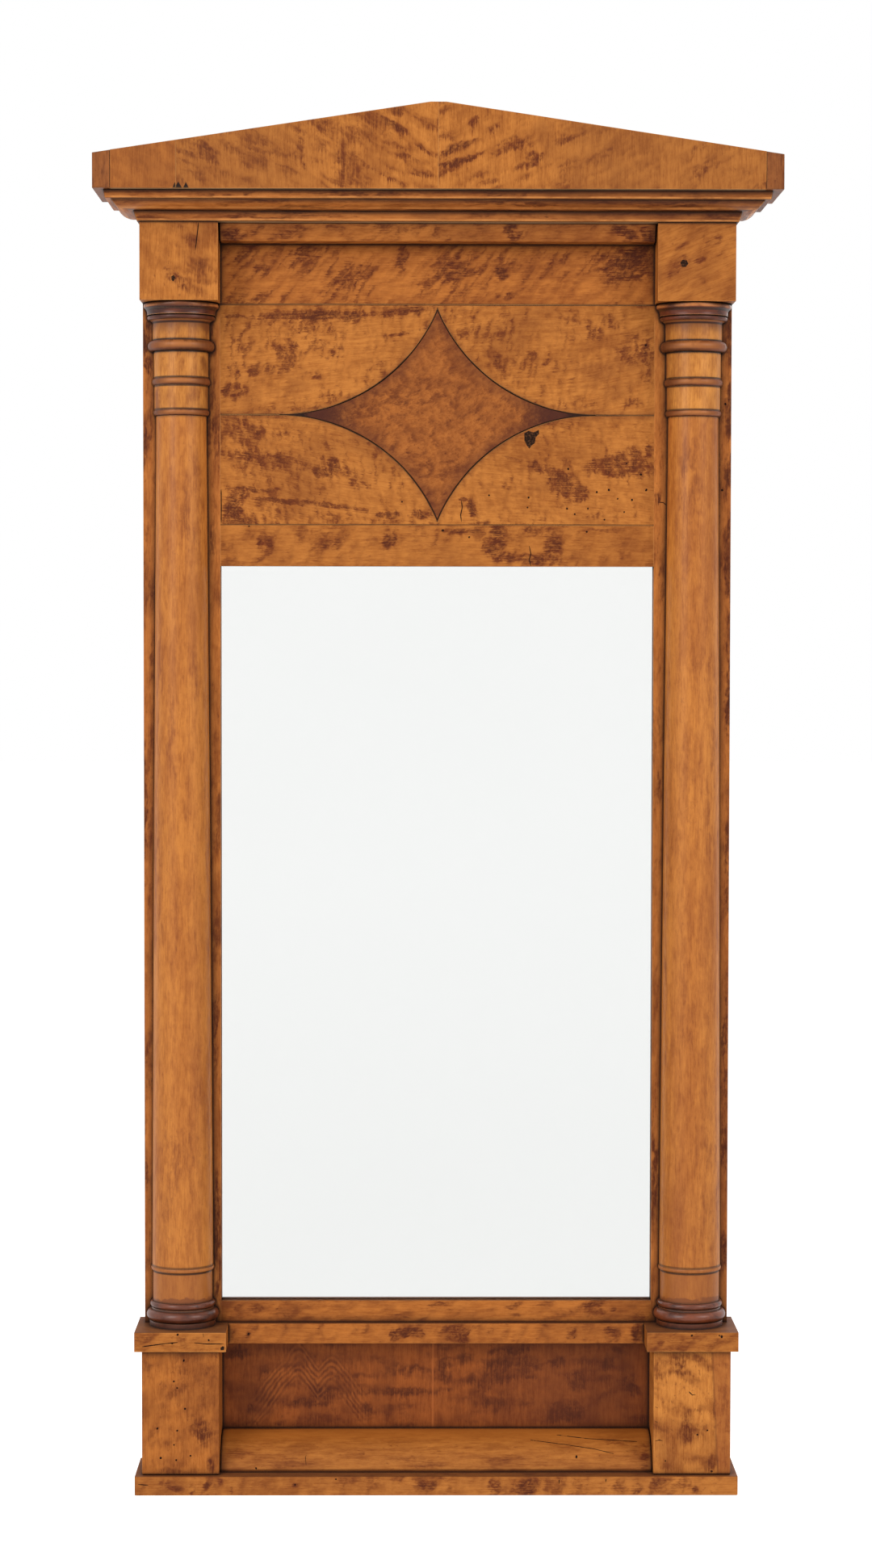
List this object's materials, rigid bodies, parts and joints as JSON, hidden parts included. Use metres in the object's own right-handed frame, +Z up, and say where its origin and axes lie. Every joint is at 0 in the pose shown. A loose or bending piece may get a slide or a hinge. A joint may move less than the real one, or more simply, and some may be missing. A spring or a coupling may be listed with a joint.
{
  "type": "wall mirror",
  "caption": "Tall wall mirror with turned half columns, a low pediment, a star inlay over the glass and a stepped base; iron hanging rings swing at the back.",
  "frame": {"origin": "on the wall plane, at the middle of the bottom edge of the plinth's back", "axes": "+Z up, +Y into the wall, so the front faces -Y; +X to the right of someone facing the mirror"},
  "size_m": [0.6116, 0.1068, 1.2491],
  "materials": {
    "flame_birch": "honey stained, waxed",
    "birch": "honey stained, waxed",
    "dark_birch": "dark stained, waxed",
    "pine": "raw, aged",
    "glass": "clear plate",
    "silvering": "mirror",
    "iron": "dark, slightly rusted"
  },
  "bodies": {
    "frame": {"backboard_lower": "pine", "backboard_middle": "pine", "backboard_nails": "iron", "backboard_upper": "pine", "base_moulding": "birch", "base_panel": "dark_birch", "base_strip": "birch", "bed_fascia_front": "flame_birch", "bed_fascia_left": "flame_birch", "bed_fascia_right": "flame_birch", "column_base_left": "dark_birch", "column_base_right": "dark_birch", "column_capital_left": "dark_birch", "column_capital_right": "dark_birch", "column_neck_left": "birch", "column_neck_right": "birch", "column_shaft_left": "birch", "column_shaft_right": "birch", "corner_block_left": "flame_birch", "corner_block_right": "flame_birch", "cornice_core": "pine", "crown_fillet_front": "flame_birch", "crown_fillet_left": "flame_birch", "crown_fillet_right": "flame_birch", "frieze_board": "flame_birch", "frieze_rail": "pine", "frieze_strip": "birch", "glass_slips": "pine", "glue_blocks": "pine", "hanger_plate_left": "iron", "hanger_plate_right": "iron", "hanger_screws": "iron", "head_rail": "birch", "lower_rail": "birch", "mirror_glass": "glass", "mirror_silvering": "silvering", "ovolo_front": "flame_birch", "ovolo_left": "flame_birch", "ovolo_right": "flame_birch", "panel_core": "pine", "panel_leaf_lower": "flame_birch", "panel_leaf_upper": "flame_birch", "pedestal_cap_left": "flame_birch", "pedestal_cap_right": "flame_birch", "pedestal_left": "flame_birch", "pedestal_right": "flame_birch", "pediment_board": "pine", "pediment_side_left": "flame_birch", "pediment_side_right": "flame_birch", "pediment_veneer_end": "flame_birch", "pediment_veneer_left": "flame_birch", "pediment_veneer_right": "flame_birch", "plinth_board": "flame_birch", "star_inlay": "flame_birch", "stile_left": "birch", "stile_right": "birch", "tenon_pegs": "birch"},
    "ring_left": {"hanger_ring_left": "iron"},
    "ring_right": {"hanger_ring_right": "iron"}
  },
  "joints": [
    {"name": "ring_left_swing", "type": "hinge", "parent": "frame", "child": "ring_left", "pos_m": [-0.15, -0.0051, 1.1163], "axis": [1, 0, 0], "range_deg": [0, 170]},
    {"name": "ring_right_swing", "type": "hinge", "parent": "frame", "child": "ring_right", "pos_m": [0.15, -0.0051, 1.1163], "axis": [1, 0, 0], "range_deg": [0, 170]}
  ]
}
